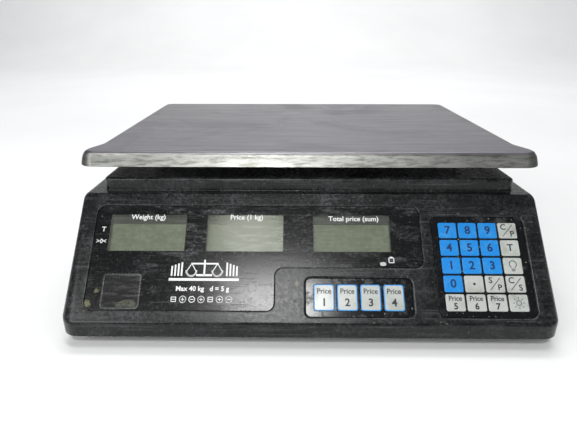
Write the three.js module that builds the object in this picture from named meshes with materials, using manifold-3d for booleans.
// A retail price-computing bench scale: a lift-off steel pan on a sprung carrier and a load cell,
// inside a two-level moulded housing with a sloping vendor panel and a steeper customer panel.
// Millimetres. Origin at the middle of the footprint on the table, +X right, +Y back, +Z up.
import * as THREE from "three";
import { mergeVertices } from "three/addons/utils/BufferGeometryUtils.js";
import Module from "manifold-3d";

const wasm = await Module();
wasm.setup();

// ---------- driving dimensions ----------
const GAP = 0.3; // clearance between separate pieces
const ARC_STEPS = 4; // steps in a quarter circle of a plan corner
const FINE_STEPS = 2; // steps in a quarter circle of a small corner
const MIN_CORNER = 2.5; // smallest inner plan radius of the housing

const BODY_WIDTH = 355; // housing, at its foot
const BODY_DEPTH = 340;
const SIDE_DRAFT = 3; // each side leans in by this much from fascia to ledge
const WALL = 3;
const HOUSING_FOOT_Z = 8.2;
const FASCIA_TOP_Z = 19.8; // where the vertical foot turns into the slopes
const LEDGE_Z = 92.7; // top of the slopes
const DECK_Z = 103; // top of the raised deck under the pan
const FRONT_SLOPE = THREE.MathUtils.degToRad(47.5); // vendor panel, from horizontal
const REAR_SLOPE = THREE.MathUtils.degToRad(67.6); // customer panel, from horizontal
const FOOT_CORNER = 12; // plan radius of the housing at its foot
const SLOPE_CORNER = 5.5; // the same beside the panels
const SLOPE_CORNER_Z = 30; // height above which the corners stay small
const DECK_CORNER = 5;
const DECK_HALF_WIDTH = 160;
const LEDGE_SETBACK = 6.2; // ledge between the slope's top edge and the deck
const EDGE_SOFTENING = 1.2;

const PAN_Y = 18.5; // centre of the pan, carrier and load cell
const PAN_TOP_Z = 124.5;
const PAN_HALF_WIDTH = 176.5; // at the flared rim
const PAN_HALF_DEPTH = 121.9;
const PAN_SHEET = 1;
// The pan's skirt at each height: how far it leans in along the sides, at the front corners
// which are drawn out, and along the front and rear; and the plan radius there.
const PAN_SKIRT = [
  { z: 113.8, side: 0, corner: 0, ends: 0, r: 13 },
  { z: 118, side: 4.3, corner: 0.5, ends: 2.6, r: 11.5 },
  { z: 122.3, side: 9, corner: 2.2, ends: 5.2, r: 9 },
  { z: 123.9, side: 10.5, corner: 4.2, ends: 6.1, r: 7.5 },
  { z: 124.5, side: 12.1, corner: 6.6, ends: 7.2, r: 6 },
];
const PAN_CORNER_BLEND = 22; // length of side over which a corner is drawn out

const FOOT_X = 150; // levelling feet
const FRONT_FOOT_Y = -112;
const REAR_FOOT_Y = 148;
const STUD_R = 4;

const SLOPE_RISE = LEDGE_Z - FASCIA_TOP_Z;
const CREASE_Y = -BODY_DEPTH / 2 + SLOPE_RISE / Math.tan(FRONT_SLOPE);
const REAR_CREASE_Y = BODY_DEPTH / 2 - SLOPE_RISE / Math.tan(REAR_SLOPE);
const CHASSIS_Z = HOUSING_FOOT_Z + GAP;
const CHASSIS_TOP_Z = CHASSIS_Z + WALL;

// Panel coordinates: u to the right, v down the slope from the ledge, w out of the panel.
const OVERLAY = { left: -160.7, right: 83.5, top: 10, step: 58.2, stepX: -25, bottom: 89.8, r: 6 };
const OVERLAY_RECESS = 1.6;
const OVERLAY_TOP_W = -0.6;
const OVERLAY_SHEET = 0.7;
const WINDOW = { width: 57.5, height: 28.6, v: 31.7 };
const WINDOW_U = [-120.9, -47.7, 32];
const LEVEL_WINDOW = { u: -135.4, v: 76, width: 28.4, height: 26, r: 3 };
const KEYPAD_RECESS = 2;
const KEYPAD = { u: 126.2, v: 55.8, width: 68.6, height: 75.6, r: 5, shelf: 3.2 };
const PRICE_PAD = { u: 35.6, v: 79.6, width: 76.4, height: 28, r: 4, shelf: 3.2 };
const KEY = { width: 13.5, height: 12.1, pitchU: 14.9, pitchV: 13.5, r: 1.2 };
const PRICE_KEY = { width: 14.4, height: 18.8, pitchU: 16.65, pitchV: 0, r: 1.6 };
const KEY_TOP_W = -0.8;
const KEY_DEPTH = 1.5;
const FILM_TOP_W = -1;
const FILM_SHEET = 0.7;
const GLASS_TOP_W = -3.4;
const GLASS_THICKNESS = 2.8;
const BOARD = 1.6; // circuit board thickness
const DISPLAY_BOARD_W = -9;
const FRONT_BOARD = { u: -44.5, v: 33, width: 226, height: 44, r: 1 };
const REAR_BOARD = { u: 0, v: 38, width: 232, height: 38, r: 1 };
const KEY_BOARD_W = -5;
const KEY_BOARD = { u: 126, v: 55.5, width: 62, height: 70, r: 1 };
const PRICE_KEY_BOARD = { u: 63, v: 79.5, width: 124, height: 22, r: 1 };
const GLASS = { v: 31.7, width: 62, height: 32, r: 0.8 };
const REAR_GLASS = { u: 0, v: 38, width: 226, height: 30, r: 0.8 };
const REAR_OVERLAY = { v: 38, width: 284, height: 46, r: 6 };
const REAR_WINDOW = { width: 54, height: 25, pitch: 82 };

const KEY_NAMES = [
  ["key_7", "key_8", "key_9", "key_clear_price"],
  ["key_4", "key_5", "key_6", "key_zero_tare"],
  ["key_1", "key_2", "key_3", "key_light"],
  ["key_0", "key_point", "key_store_price", "key_clear_total"],
  ["key_price_5", "key_price_6", "key_price_7", "key_brightness"],
];
const PRICE_KEY_NAMES = [["key_price_1", "key_price_2", "key_price_3", "key_price_4"]];

// ---------- solids ----------
function solidOf(geometry) {
  const bare = geometry.index ? geometry.toNonIndexed() : geometry.clone();
  bare.deleteAttribute("normal");
  bare.deleteAttribute("uv");
  const merged = mergeVertices(bare, 1e-4);
  return new wasm.Manifold(
    new wasm.Mesh({
      numProp: 3,
      vertProperties: merged.attributes.position.array,
      triVerts: new Uint32Array(merged.index.array),
    }),
  );
}

function geometryOf(solid) {
  const mesh = solid.getMesh();
  const geometry = new THREE.BufferGeometry();
  geometry.setAttribute("position", new THREE.BufferAttribute(mesh.vertProperties, 3));
  geometry.setIndex(new THREE.BufferAttribute(mesh.triVerts, 1));
  geometry.computeVertexNormals();
  return geometry;
}

// The first geometry joined with the others.
function join(first, ...others) {
  return geometryOf(others.reduce((sum, g) => sum.add(solidOf(g)), solidOf(first)));
}

// The first geometry with the others cut away.
function cut(first, ...others) {
  return geometryOf(others.reduce((rest, g) => rest.subtract(solidOf(g)), solidOf(first)));
}

function box([x0, y0, z0], [x1, y1, z1]) {
  const geometry = new THREE.BoxGeometry(x1 - x0, y1 - y0, z1 - z0);
  return geometry.translate((x0 + x1) / 2, (y0 + y1) / 2, (z0 + z1) / 2);
}

// A round post along Z from z0 to z1.
function post(radius, x, y, z0, z1, steps = 16) {
  const geometry = new THREE.CylinderGeometry(radius, radius, z1 - z0, steps);
  return geometry.rotateX(Math.PI / 2).translate(x, y, (z0 + z1) / 2);
}

function roundedRectangle(width, height, radius) {
  const x = width / 2 - radius;
  const y = height / 2 - radius;
  const shape = new THREE.Shape();
  shape.absarc(x, y, radius, 0, Math.PI / 2);
  shape.absarc(-x, y, radius, Math.PI / 2, Math.PI);
  shape.absarc(-x, -y, radius, Math.PI, 1.5 * Math.PI);
  shape.absarc(x, -y, radius, 1.5 * Math.PI, 2 * Math.PI);
  shape.closePath();
  return shape;
}

// A rounded slab centred on (x, y), its underside at z.
function slab(width, height, thickness, radius, [x, y, z], steps = FINE_STEPS) {
  const settings = { depth: thickness, bevelEnabled: false, curveSegments: steps };
  const geometry = new THREE.ExtrudeGeometry(roundedRectangle(width, height, radius), settings);
  return geometry.translate(x, y, z);
}

// A slab in panel coordinates, where v runs down the slope.
function panelSlab({ u, v, width, height, r }, w, thickness, inset = 0, steps = FINE_STEPS) {
  const radius = Math.max(r - inset, 0.5);
  return slab(width - 2 * inset, height - 2 * inset, thickness, radius, [u, -v, w], steps);
}

function roundedPlan({ z, halfWidth, front, rear, radius }) {
  const x = halfWidth - radius;
  const corners = [
    [x, rear - radius],
    [-x, rear - radius],
    [-x, front + radius],
    [x, front + radius],
  ];
  return corners.flatMap(([cx, cy], quarter) =>
    Array.from({ length: ARC_STEPS + 1 }, (_, step) => {
      const angle = (quarter + step / ARC_STEPS) * (Math.PI / 2);
      return [cx + radius * Math.cos(angle), cy + radius * Math.sin(angle), z];
    }),
  );
}

// A closed solid through a stack of outlines, from the lowest ring to the highest.
function loft(rings, outlineOf = roundedPlan) {
  const points = rings.flatMap(outlineOf);
  const count = points.length / rings.length;
  const faces = [];
  for (let ring = 0; ring < rings.length - 1; ring++) {
    for (let i = 0; i < count; i++) {
      const a = ring * count + i;
      const b = ring * count + ((i + 1) % count);
      faces.push(a, b, b + count, a, b + count, a + count);
    }
  }
  // Each end is a fan round its middle, because an outline may be slightly hollow.
  const top = points.length - count;
  const middleOf = (start) => {
    const [x0, y0, z] = points[start];
    const [x1, y1] = points[start + count / 2];
    return points.push([(x0 + x1) / 2, (y0 + y1) / 2, z]) - 1;
  };
  const lowMiddle = middleOf(0);
  const highMiddle = middleOf(top);
  for (let i = 0; i < count; i++) {
    const next = (i + 1) % count;
    faces.push(lowMiddle, next, i, highMiddle, top + i, top + next);
  }
  const geometry = new THREE.BufferGeometry();
  geometry.setAttribute("position", new THREE.Float32BufferAttribute(points.flat(), 3));
  return geometry.setIndex(faces);
}

// ---------- placing ----------
const scale = new THREE.Group();

function panelGroup(creaseY, slope, facing) {
  const turn = new THREE.Group();
  turn.rotation.z = facing;
  const panel = new THREE.Group();
  panel.position.set(0, creaseY, LEDGE_Z);
  panel.rotation.x = slope;
  turn.add(panel);
  scale.add(turn);
  scale.updateMatrixWorld(true);
  return panel;
}

const frontPanel = panelGroup(CREASE_Y, FRONT_SLOPE, 0);
const rearPanel = panelGroup(-REAR_CREASE_Y, REAR_SLOPE, Math.PI);

function onPanel(panel, geometry) {
  return geometry.applyMatrix4(panel.matrixWorld);
}

const materials = {
  steel: { color: 0x9a969c, roughness: 0.35, metalness: 1 },
  blackPlastic: { color: 0x17181a, roughness: 0.45, metalness: 0 },
  darkPlastic: { color: 0x232427, roughness: 0.6, metalness: 0 },
  glossFilm: { color: 0x08090b, roughness: 0.15, metalness: 0 },
  greyFilm: { color: 0x2a2b2e, roughness: 0.3, metalness: 0 },
  clear: { color: 0x30332f, roughness: 0.08, metalness: 0 },
  lcd: { color: 0x6c705e, roughness: 0.15, metalness: 0 },
  blueKey: { color: 0x368cdf, roughness: 0.35, metalness: 0 },
  whiteKey: { color: 0xe8e9e4, roughness: 0.35, metalness: 0 },
  aluminium: { color: 0xb4b6b8, roughness: 0.4, metalness: 1 },
  rubber: { color: 0x1b1b1b, roughness: 0.85, metalness: 0 },
  board: { color: 0x1d5a34, roughness: 0.5, metalness: 0 },
  battery: { color: 0x3a3d40, roughness: 0.55, metalness: 0 },
  core: { color: 0x77706a, roughness: 0.5, metalness: 0.7 },
  vial: { color: 0xb7cf5a, roughness: 0.08, metalness: 0 },
};

function add(parent, name, material, geometry) {
  const mesh = new THREE.Mesh(geometry, new THREE.MeshStandardMaterial(materials[material]));
  mesh.name = name;
  parent.add(mesh);
  return mesh;
}

// ---------- housing ----------
// The housing's outline at a height, moved inwards by a wall thickness.
function housingRing(z, inset, soften = 0) {
  const rise = Math.max(z - FASCIA_TOP_Z, 0);
  const share = Math.min(rise / SLOPE_RISE, 1);
  const cornerShare = Math.min(rise / (SLOPE_CORNER_Z - FASCIA_TOP_Z), 1);
  const frontSlope = CREASE_Y - (LEDGE_Z - z) / Math.tan(FRONT_SLOPE) + inset / Math.sin(FRONT_SLOPE);
  const rearSlope = REAR_CREASE_Y + (LEDGE_Z - z) / Math.tan(REAR_SLOPE) - inset / Math.sin(REAR_SLOPE);
  return {
    z,
    halfWidth: BODY_WIDTH / 2 - inset - SIDE_DRAFT * share - soften,
    front: Math.max(-BODY_DEPTH / 2 + inset, frontSlope) + soften,
    rear: Math.min(BODY_DEPTH / 2 - inset, rearSlope) - soften,
    radius: Math.max(FOOT_CORNER + (SLOPE_CORNER - FOOT_CORNER) * cornerShare - inset, MIN_CORNER),
  };
}

function deckRing(z, inset, soften = 0) {
  return {
    z,
    halfWidth: DECK_HALF_WIDTH - inset - soften,
    front: CREASE_Y + LEDGE_SETBACK + inset + soften,
    rear: REAR_CREASE_Y - LEDGE_SETBACK - inset - soften,
    radius: Math.max(DECK_CORNER - inset, MIN_CORNER),
  };
}

// The height where the fascia and a slope, both moved inwards by a wall thickness, meet.
function kneeZ(slope, inset) {
  return FASCIA_TOP_Z - (inset * (1 - Math.sin(slope))) / Math.cos(slope);
}

function housingShell() {
  const outside = loft([
    housingRing(HOUSING_FOOT_Z, 0, EDGE_SOFTENING / 2),
    housingRing(HOUSING_FOOT_Z + EDGE_SOFTENING / 2, 0),
    housingRing(FASCIA_TOP_Z, 0),
    housingRing(SLOPE_CORNER_Z, 0),
    housingRing(LEDGE_Z - EDGE_SOFTENING, 0),
    housingRing(LEDGE_Z, 0, EDGE_SOFTENING / 2),
    deckRing(LEDGE_Z, 0),
    deckRing(DECK_Z - EDGE_SOFTENING, 0),
    deckRing(DECK_Z, 0, EDGE_SOFTENING),
  ]);
  const inside = loft([
    housingRing(HOUSING_FOOT_Z - 1, WALL),
    housingRing(kneeZ(FRONT_SLOPE, WALL), WALL),
    housingRing(kneeZ(REAR_SLOPE, WALL), WALL),
    housingRing(SLOPE_CORNER_Z, WALL),
    housingRing(LEDGE_Z - WALL, WALL),
    deckRing(LEDGE_Z - WALL, WALL),
    deckRing(DECK_Z - WALL, WALL),
  ]);
  return cut(outside, inside);
}

const COLLAR = { outer: 20.5, inner: 17.2, top: DECK_Z + 2.6 }; // round the carrier's column
const POCKET = { x: 173, y0: -42, y1: 34, z0: 26, z1: 56, rim: 3 }; // on the right-hand side
const INLET = { y: -20, z: 41, width: 27.4, height: 19.4 };
const SWITCH = { y: 20, z: 41, width: 13, height: 19 };

function sideBox(y, z, width, height, x0, x1) {
  return box([x0, y - width / 2, z - height / 2], [x1, y + width / 2, z + height / 2]);
}

function overlayShape(inset) {
  const { left, right, top, step, stepX, bottom, r } = OVERLAY;
  const [x0, x1, x2] = [left + inset, stepX - inset, right - inset];
  const [y0, y1, y2] = [-top - inset, -step + inset, -bottom + inset];
  const round = r - inset;
  const inner = r + inset;
  const shape = new THREE.Shape();
  shape.absarc(x2 - round, y0 - round, round, Math.PI / 2, 0, true);
  shape.absarc(x2 - round, y1 + round, round, 0, -Math.PI / 2, true);
  shape.absarc(x1 + inner, y1 - inner, inner, Math.PI / 2, Math.PI, false);
  shape.absarc(x1 - round, y2 + round, round, 0, -Math.PI / 2, true);
  shape.absarc(x0 + round, y2 + round, round, -Math.PI / 2, -Math.PI, true);
  shape.absarc(x0 + round, y0 - round, round, Math.PI, Math.PI / 2, true);
  shape.closePath();
  return shape;
}

function overlaySlab(inset, w, thickness) {
  const settings = { depth: thickness, bevelEnabled: false, curveSegments: 6 };
  return new THREE.ExtrudeGeometry(overlayShape(inset), settings).translate(0, 0, w);
}

function upperHousing() {
  const above = 6; // cutters run this far past the surface they open
  const below = 5;
  const frontCutters = [
    overlaySlab(0, -OVERLAY_RECESS, above),
    panelSlab(LEVEL_WINDOW, -below, 2 * below, 2),
    panelSlab(KEYPAD, -KEYPAD_RECESS, above),
    panelSlab(KEYPAD, -below, 2 * below, KEYPAD.shelf),
    panelSlab(PRICE_PAD, -KEYPAD_RECESS, above),
    panelSlab(PRICE_PAD, -below, 2 * below, PRICE_PAD.shelf),
    ...WINDOW_U.map((u) => panelSlab({ ...WINDOW, u, r: 1 }, -below, 2 * below, 0.5)),
  ].map((cutter) => onPanel(frontPanel, cutter));
  const rearCutters = [
    panelSlab({ ...REAR_OVERLAY, u: 0 }, -OVERLAY_RECESS, above),
    ...[-1, 0, 1].map((i) =>
      panelSlab({ ...REAR_WINDOW, u: i * REAR_WINDOW.pitch, v: REAR_OVERLAY.v, r: 1 }, -below, 2 * below),
    ),
  ].map((cutter) => onPanel(rearPanel, cutter));
  const { x, y0, y1, z0, z1, rim } = POCKET;
  const pocketWall = box([x - WALL, y0 - rim, z0 - rim], [x + 2.4, y1 + rim, z1 + rim]);
  const collar = post(COLLAR.outer, 0, PAN_Y, DECK_Z - 1, COLLAR.top, 24);
  return cut(
    join(housingShell(), pocketWall, collar),
    ...frontCutters,
    ...rearCutters,
    post(COLLAR.inner, 0, PAN_Y, DECK_Z - below, COLLAR.top + 1, 24),
    box([x, y0, z0], [x + 2 * above, y1, z1]),
    sideBox(INLET.y, INLET.z, INLET.width + 2 * GAP, INLET.height + 2 * GAP, x - below, x + 1),
    sideBox(SWITCH.y, SWITCH.z, SWITCH.width + 2 * GAP, SWITCH.height + 2 * GAP, x - below, x + 1),
  );
}

add(scale, "upper_housing", "blackPlastic", upperHousing());

// ---------- vendor panel ----------
add(
  frontPanel,
  "display_overlay",
  "glossFilm",
  cut(
    overlaySlab(GAP, OVERLAY_TOP_W - OVERLAY_SHEET, OVERLAY_SHEET),
    panelSlab(LEVEL_WINDOW, -OVERLAY_RECESS, 2 * OVERLAY_RECESS),
  ),
);
add(
  frontPanel,
  "level_window",
  "clear",
  panelSlab(LEVEL_WINDOW, OVERLAY_TOP_W - OVERLAY_SHEET, OVERLAY_SHEET + 0.4, GAP),
);

["lcd_weight", "lcd_price", "lcd_total"].forEach((name, i) => {
  const place = { ...GLASS, u: WINDOW_U[i] };
  add(frontPanel, name, "lcd", panelSlab(place, GLASS_TOP_W - GLASS_THICKNESS, GLASS_THICKNESS));
});
add(
  frontPanel,
  "front_display_board",
  "board",
  panelSlab(FRONT_BOARD, DISPLAY_BOARD_W, BOARD),
);

// Calls back with each key's name and centre on its pad.
function eachKey(names, pad, key, make) {
  const rows = names.length;
  names.forEach((row, j) => {
    row.forEach((name, i) => {
      const u = pad.u + (i - (row.length - 1) / 2) * key.pitchU;
      const v = pad.v + (j - (rows - 1) / 2) * key.pitchV;
      make(name, { ...key, u, v });
    });
  });
}

function keypad(filmName, names, pad, key, materialOf) {
  const holes = [];
  eachKey(names, pad, key, (name, place) => {
    holes.push(panelSlab(place, FILM_TOP_W - 2 * FILM_SHEET, 4 * FILM_SHEET, -GAP, 1));
    const pressed = panelSlab(place, KEY_TOP_W - KEY_DEPTH, KEY_DEPTH);
    add(frontPanel, name, materialOf(name), pressed);
  });
  const film = panelSlab(pad, FILM_TOP_W - FILM_SHEET, FILM_SHEET, GAP);
  add(frontPanel, filmName, "greyFilm", cut(film, ...holes));
}

const keyMaterial = (name) => (/^key_\d$/.test(name) ? "blueKey" : "whiteKey");
keypad("keypad_film", KEY_NAMES, KEYPAD, KEY, keyMaterial);
keypad("price_key_film", PRICE_KEY_NAMES, PRICE_PAD, PRICE_KEY, keyMaterial);
add(
  frontPanel,
  "keypad_board",
  "board",
  join(
    panelSlab(KEY_BOARD, KEY_BOARD_W, BOARD),
    panelSlab(PRICE_KEY_BOARD, KEY_BOARD_W, BOARD),
  ),
);

// ---------- customer panel ----------
add(
  rearPanel,
  "rear_overlay",
  "glossFilm",
  panelSlab({ ...REAR_OVERLAY, u: 0 }, OVERLAY_TOP_W - OVERLAY_SHEET, OVERLAY_SHEET, GAP),
);
add(
  rearPanel,
  "rear_lcd",
  "lcd",
  panelSlab(REAR_GLASS, GLASS_TOP_W - GLASS_THICKNESS, GLASS_THICKNESS),
);
add(
  rearPanel,
  "rear_display_board",
  "board",
  panelSlab(REAR_BOARD, DISPLAY_BOARD_W, BOARD),
);

// ---------- chassis ----------
const CELL = { halfLength: 75, halfWidth: 15, z0: 34, z1: 70, fixedTo: -35, bolts: [47, 65] };
const VIAL = { x: -135.3, y: -150.5, r: 7.5, z0: 15, z1: 23 };
const MAIN_BOARD = { x: -10, y: -60, width: 120, height: 70, z: 18 };
const PROCESSOR = { x0: -40, x1: -18, y0: -70, y1: -48, height: 3.4 }; // parts on the main board
const CONNECTOR = { x0: 8, x1: 34, y0: -85, y1: -77, height: 7.4 };
const CAPACITOR = { x: 30, y: -45, r: 7, height: 18.4 };
const TRANSFORMER = { x: -127, y: 90, halfWidth: 23, halfDepth: 8, z1: 50 }; // its core
const COIL = { width: 32, depth: 40, z0: 18, z1: 44, r: 4 };
const BATTERY_TABS = { y: [72, 118], halfWidth: 2.4, z0: 50, z1: 50.8, reach: 4 };
const STOP = { x: 60, r: 4, z0: 13 }; // overload stop under the load cell's free end
const OVERLOAD_GAP = 0.5;
const BATTERY = { x0: 57, x1: 158, y0: 60, y1: 130, z0: 11.2, z1: 58.2 };
const FEET = [
  ["foot_front_left", -FOOT_X, FRONT_FOOT_Y],
  ["foot_front_right", FOOT_X, FRONT_FOOT_Y],
  ["foot_rear_left", -FOOT_X, REAR_FOOT_Y],
  ["foot_rear_right", FOOT_X, REAR_FOOT_Y],
];

function chassis() {
  const inset = WALL + GAP;
  const floor = slab(
    BODY_WIDTH - 2 * inset,
    BODY_DEPTH - 2 * inset,
    WALL,
    FOOT_CORNER - inset,
    [0, 0, CHASSIS_Z],
    ARC_STEPS,
  );
  const root = CHASSIS_TOP_Z - 0.5; // bosses start inside the floor
  const bosses = FEET.map(([, x, y]) => post(10, x, y, root, 24));
  const standoffs = [-1, 1].flatMap((i) =>
    [-1, 1].map((j) =>
      post(
        3,
        MAIN_BOARD.x + (i * (MAIN_BOARD.width - 10)) / 2,
        MAIN_BOARD.y + (j * (MAIN_BOARD.height - 10)) / 2,
        root,
        MAIN_BOARD.z - GAP,
        8,
      ),
    ),
  );
  const cellSeat = box(
    [-CELL.halfLength - 2, PAN_Y - CELL.halfWidth, root],
    [CELL.fixedTo, PAN_Y + CELL.halfWidth, CELL.z0 - GAP],
  );
  const levelPillar = post(VIAL.r - 1.5, VIAL.x, VIAL.y, root, VIAL.z0 - GAP, 12);
  const stopBoss = post(8, STOP.x, PAN_Y, root, 22, 12);
  const stopHole = post(STOP.r + GAP, STOP.x, PAN_Y, STOP.z0 - GAP, 23, 12);
  const { x0, x1, y0, y1 } = BATTERY;
  const fence = 2;
  const bay = cut(
    box([x0 - 1 - fence, y0 - 1 - fence, root], [x1 + 1 + fence, y1 + 1 + fence, 24]),
    box([x0 - 1, y0 - 1, root - 1], [x1 + 1, y1 + 1, 25]),
  );
  const tapped = FEET.map(([, x, y]) => post(STUD_R + GAP, x, y, CHASSIS_Z - 1, 25));
  const hatch = box([x0 + 2, y0 + 2, CHASSIS_Z - 1], [x1 - 2, y1 - 2, CHASSIS_TOP_Z + 1]);
  const solid = join(floor, ...bosses, ...standoffs, cellSeat, levelPillar, stopBoss, bay);
  return cut(solid, hatch, stopHole, ...tapped);
}

add(scale, "base_chassis", "darkPlastic", chassis());
add(
  scale,
  "battery_cover",
  "darkPlastic",
  box(
    [BATTERY.x0 + 2 + GAP, BATTERY.y0 + 2 + GAP, CHASSIS_Z],
    [BATTERY.x1 - 2 - GAP, BATTERY.y1 - 2 - GAP, BATTERY.z0 - GAP],
  ),
);
add(
  scale,
  "battery",
  "battery",
  join(
    box([BATTERY.x0, BATTERY.y0, CHASSIS_TOP_Z + GAP], [BATTERY.x1, BATTERY.y1, BATTERY.z1]),
    ...BATTERY_TABS.y.map((y) => {
      const { halfWidth, z0, z1, reach } = BATTERY_TABS;
      return box([BATTERY.x0 - reach, y - halfWidth, z0], [BATTERY.x0 + 1, y + halfWidth, z1]);
    }),
  ),
);

function mainBoard() {
  const { x, y, width, height, z } = MAIN_BOARD;
  const face = z + BOARD;
  const root = face - 0.5; // parts start inside the board
  const parts = [PROCESSOR, CONNECTOR].map((part) =>
    box([part.x0, part.y0, root], [part.x1, part.y1, face + part.height]),
  );
  const can = post(CAPACITOR.r, CAPACITOR.x, CAPACITOR.y, root, face + CAPACITOR.height, 12);
  return join(slab(width, height, BOARD, 1, [x, y, z]), ...parts, can);
}

function transformer() {
  const { x, y, halfWidth, halfDepth, z1 } = TRANSFORMER;
  const core = box([x - halfWidth, y - halfDepth, CHASSIS_TOP_Z + GAP], [x + halfWidth, y + halfDepth, z1]);
  return join(core, slab(COIL.width, COIL.depth, COIL.z1 - COIL.z0, COIL.r, [x, y, COIL.z0]));
}

add(scale, "main_board", "board", mainBoard());
add(scale, "transformer", "core", transformer());
add(
  scale,
  "overload_stop",
  "steel",
  join(
    post(STOP.r, STOP.x, PAN_Y, STOP.z0, CELL.z0 - 3, 12),
    post(6.5, STOP.x, PAN_Y, CELL.z0 - 5, CELL.z0 - OVERLOAD_GAP, 6),
  ),
);
add(scale, "level_vial", "vial", post(VIAL.r, VIAL.x, VIAL.y, VIAL.z0, VIAL.z1, 20));

function footGeometry() {
  const knobTop = HOUSING_FOOT_Z - 0.5;
  const profile = [
    [0, 0],
    [12.6, 0],
    [14, 1.4],
    [14, knobTop - 1.4],
    [12.6, knobTop],
    [STUD_R, knobTop],
    [STUD_R, 22.4],
    [STUD_R - 0.8, 23.2],
    [0, 23.2],
  ];
  const points = profile.map(([radius, z]) => new THREE.Vector2(radius, z));
  return new THREE.LatheGeometry(points, 18).rotateX(Math.PI / 2);
}

FEET.forEach(([name, x, y]) => {
  add(scale, name, "rubber", footGeometry()).position.set(x, y, 0);
});

// ---------- load cell, carrier and pan ----------
function loadCell() {
  const [y0, y1] = [PAN_Y - CELL.halfWidth, PAN_Y + CELL.halfWidth];
  const middle = (CELL.z0 + CELL.z1) / 2;
  const bore = (x) => {
    const geometry = new THREE.CylinderGeometry(8, 8, 4 * CELL.halfWidth, 16);
    return geometry.translate(x, PAN_Y, middle);
  };
  const boreOffset = 9; // each side of the middle, joined by a slot
  return cut(
    box([-CELL.halfLength, y0, CELL.z0], [CELL.halfLength, y1, CELL.z1]),
    bore(-boreOffset),
    bore(boreOffset),
    box([-boreOffset, y0 - 1, middle - 5], [boreOffset, y1 + 1, middle + 5]),
    ...CELL.bolts.map((x) => post(3 + GAP, x, PAN_Y, CELL.z1 - 16, CELL.z1 + 1, 12)),
  );
}

add(scale, "load_cell", "aluminium", loadCell());

const FLANGE_Z = 78.3; // top of the carrier's flange on the load cell
const ARM_Z = 108;
const ARM_TOP_Z = 116;
const ARM_REACH = [118, 72];
const CUP_Z = 117.3;

function panCarrier() {
  const pad = box([37, PAN_Y - 14, CELL.z1 + GAP], [74, PAN_Y + 14, FLANGE_Z]);
  const flange = box([-18, PAN_Y - 14, CELL.z1 + 3], [74, PAN_Y + 14, FLANGE_Z]);
  const column = post(14, 0, PAN_Y, FLANGE_Z - 1, ARM_TOP_Z - 2, 24);
  const hub = post(30, 0, PAN_Y, ARM_Z, ARM_TOP_Z - 2, 24);
  const [reachX, reachY] = ARM_REACH;
  const length = 2 * Math.hypot(reachX, reachY);
  const angle = Math.atan2(reachY, reachX);
  const arms = [angle, -angle].map((turn) => {
    const bar = box([-length / 2, -8, ARM_Z], [length / 2, 8, ARM_TOP_Z]);
    return bar.rotateZ(turn).translate(0, PAN_Y, 0);
  });
  const ends = cornersOfCarrier().map(([x, y]) => post(13, x, y, ARM_Z, CUP_Z - GAP, 20));
  const boltHoles = CELL.bolts.map((x) => post(3 + GAP, x, PAN_Y, CELL.z1, FLANGE_Z + 1, 12));
  return cut(join(pad, flange, column, hub, ...arms, ...ends), ...boltHoles);
}

function cornersOfCarrier() {
  const [reachX, reachY] = ARM_REACH;
  return [
    [-reachX, PAN_Y - reachY],
    [reachX, PAN_Y - reachY],
    [-reachX, PAN_Y + reachY],
    [reachX, PAN_Y + reachY],
  ];
}

add(scale, "pan_carrier", "aluminium", panCarrier());

const CUP_NAMES = ["cup_front_left", "cup_front_right", "cup_rear_left", "cup_rear_right"];
cornersOfCarrier().forEach(([x, y], i) => {
  const top = PAN_TOP_Z - PAN_SHEET - GAP;
  add(scale, CUP_NAMES[i], "rubber", post(11, x, y, CUP_Z, top, 16));
});

CELL.bolts.forEach((x, i) => {
  const bolt = join(
    post(5, x, PAN_Y, FLANGE_Z + GAP, FLANGE_Z + GAP + 5.6, 12),
    post(3, x, PAN_Y, CELL.z1 - 14, FLANGE_Z + 1, 12),
  );
  add(scale, ["carrier_bolt_inner", "carrier_bolt_outer"][i], "steel", bolt);
});

// The pan's outline at one height of its skirt, moved inwards by a sheet's thickness.
function panOutline({ z, side, corner, ends, r, inset = 0 }) {
  const sideX = PAN_HALF_WIDTH - side - inset;
  const halfDepth = PAN_HALF_DEPTH - ends - inset;
  const arcEnd = halfDepth - r; // where a side turns into a corner
  // A quarter of the outline, from its side towards its end, ending at a half-width of cornerX.
  const quadrant = (cornerX) => {
    const side = [0, 0.25, 0.5, 0.75, 1].map((share) => {
      const bulge = share * share * (3 - 2 * share);
      return [sideX + (cornerX - sideX) * bulge, arcEnd - PAN_CORNER_BLEND * (1 - share)];
    });
    const turn = Array.from({ length: ARC_STEPS }, (_, step) => {
      const angle = ((step + 1) / ARC_STEPS) * (Math.PI / 2);
      return [cornerX - r + r * Math.cos(angle), arcEnd + r * Math.sin(angle)];
    });
    return [...side, ...turn];
  };
  const mirror = (points) => points.map(([x, y]) => [-x, y]).reverse();
  const rear = quadrant(sideX);
  const front = quadrant(PAN_HALF_WIDTH - corner - inset).map(([x, y]) => [-x, -y]);
  const outline = [...rear, ...mirror(rear), ...front, ...mirror(front)];
  return outline.map(([x, y]) => [x, PAN_Y + y, z]);
}

function weighingPan() {
  const outside = loft(PAN_SKIRT, panOutline);
  const inner = PAN_SKIRT.map((ring) => ({ ...ring, inset: PAN_SHEET, z: ring.z - PAN_SHEET }));
  return cut(outside, loft(inner, panOutline));
}

add(scale, "weighing_pan", "steel", weighingPan());

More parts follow.
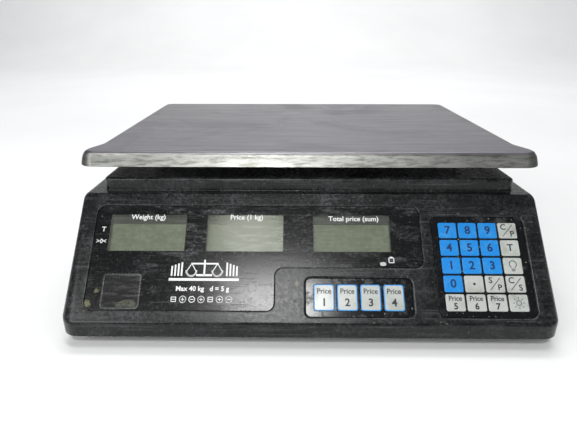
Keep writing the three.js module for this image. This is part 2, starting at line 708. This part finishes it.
// ---------- mains inlet and power switch ----------
function mainsInlet() {
  const { y, z, width, height } = INLET;
  const face = POCKET.x + GAP;
  const pins = [
    [-6.5, -2.5],
    [6.5, -2.5],
    [0, 2.5],
  ];
  const shell = cut(
    join(
      sideBox(y, z, 33, 25, face, face + 2.2),
      sideBox(y, z, width, height, face - 19, face + 1),
    ),
    sideBox(y, z, 22.6, 15.2, face - 14, face + 4),
  );
  return join(
    shell,
    ...pins.map(([dy, dz]) => sideBox(y + dy, z + dz, 2, 4, face - 15, face - 3)),
  );
}

const ROCKER_TILT = THREE.MathUtils.degToRad(10);
const ROCKER_PIVOT_X = 169.5;

function switchBody() {
  const { y, z, width, height } = SWITCH;
  const face = POCKET.x + GAP;
  return cut(
    join(
      sideBox(y, z, 15, 21, face, face + 1.5),
      sideBox(y, z, width, height, face - 15, face + 1),
    ),
    sideBox(y, z, 10, 17, ROCKER_PIVOT_X - 5, face + 4),
  );
}

// A rocker with two raised ends, tilted with its lower end pressed in.
function addRocker() {
  const outline = [
    [-7.2, 5.4],
    [-7.2, 3.4],
    [-5, -3],
    [5, -3],
    [7.2, 3.4],
    [7.2, 5.4],
    [0, 4],
  ];
  const shape = new THREE.Shape(outline.map(([along, out]) => new THREE.Vector2(along, out)));
  const width = 9.2;
  const settings = { depth: width, bevelEnabled: false };
  const geometry = new THREE.ExtrudeGeometry(shape, settings).translate(0, 0, -width / 2);
  const rocker = add(scale, "power_rocker", "darkPlastic", geometry);
  // The outline's length runs up the wall and its height points out of the wall.
  const basis = new THREE.Matrix4().makeBasis(
    new THREE.Vector3(0, 0, 1),
    new THREE.Vector3(1, 0, 0),
    new THREE.Vector3(0, 1, 0),
  );
  rocker.quaternion.setFromRotationMatrix(basis);
  rocker.rotateZ(ROCKER_TILT);
  rocker.position.set(ROCKER_PIVOT_X, SWITCH.y, SWITCH.z);
}

add(scale, "mains_inlet", "darkPlastic", mainsInlet());
add(scale, "power_switch_body", "darkPlastic", switchBody());
addRocker();

export default scale;
